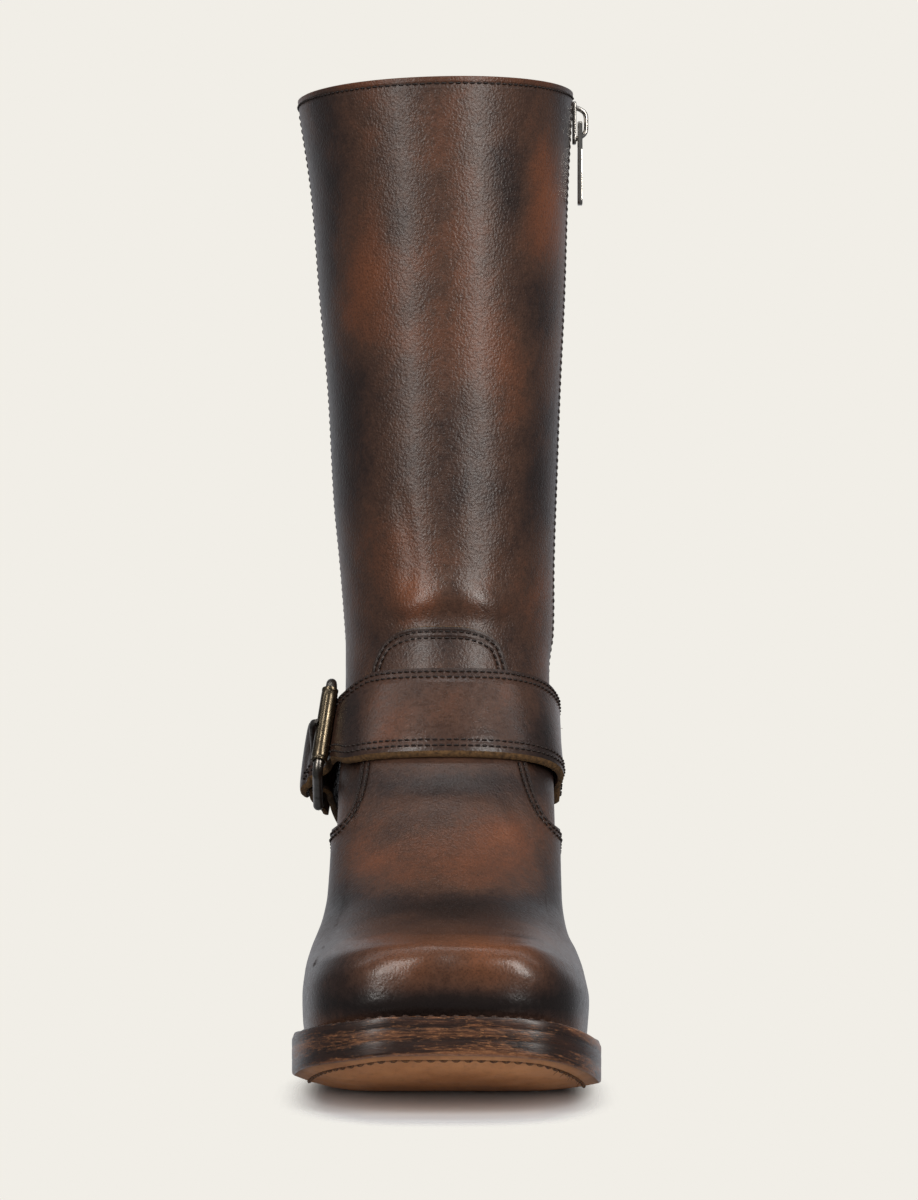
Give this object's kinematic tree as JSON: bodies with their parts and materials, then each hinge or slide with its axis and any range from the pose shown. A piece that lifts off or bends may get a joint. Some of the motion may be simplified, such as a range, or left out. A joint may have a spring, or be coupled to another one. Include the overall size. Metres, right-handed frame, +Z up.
{
  "type": "buckle boot",
  "caption": "Right-foot leather mid-shaft boot with a squared bulbous toe, welted sole, stacked block heel, instep strap with roller buckle, and an inner side zip.",
  "frame": {"origin": "on the floor under the middle of the heel", "axes": "+Z up, toe points to -Y, inner side of the foot with the zip is +X, outer side with the buckle is -X"},
  "size_m": [0.1086, 0.3042, 0.3533],
  "materials": {
    "sole_leather": "natural vegetable tanned, rubbed",
    "edge_leather": "burnished edge with tan scuffs",
    "heel_rubber": "matt",
    "insole_leather": "matt natural",
    "upper_leather": "burnished, satin, mottled",
    "buckle_metal": "antique pewter",
    "roller_metal": "antique, worn bright",
    "zip_fabric": "woven tape",
    "zip_metal": "satin nickel"
  },
  "bodies": {
    "boot": {"outsole": "sole_leather", "midsole": "edge_leather", "welt": "edge_leather", "insole": "insole_leather", "heel_top_piece": "heel_rubber", "heel_lift_1": "edge_leather", "heel_lift_2": "edge_leather", "heel_lift_3": "edge_leather", "heel_lift_4": "edge_leather", "heel_seat_lift": "edge_leather", "upper": "upper_leather", "vamp": "upper_leather", "counter": "upper_leather", "strap": "upper_leather", "chape": "upper_leather", "buckle_frame": "buckle_metal", "buckle_roller": "roller_metal", "buckle_prong": "buckle_metal", "zip_tape": "zip_fabric", "zip_teeth": "zip_metal", "zip_slider": "zip_metal"},
    "pull": {"zip_pull": "zip_metal"}
  },
  "joints": [
    {"name": "zip_pull_swing", "type": "hinge", "parent": "boot", "child": "pull", "pos_m": [0.04977, -0.00849, 0.34263], "axis": [0, -1, 0], "range_deg": [0, 165]}
  ]
}
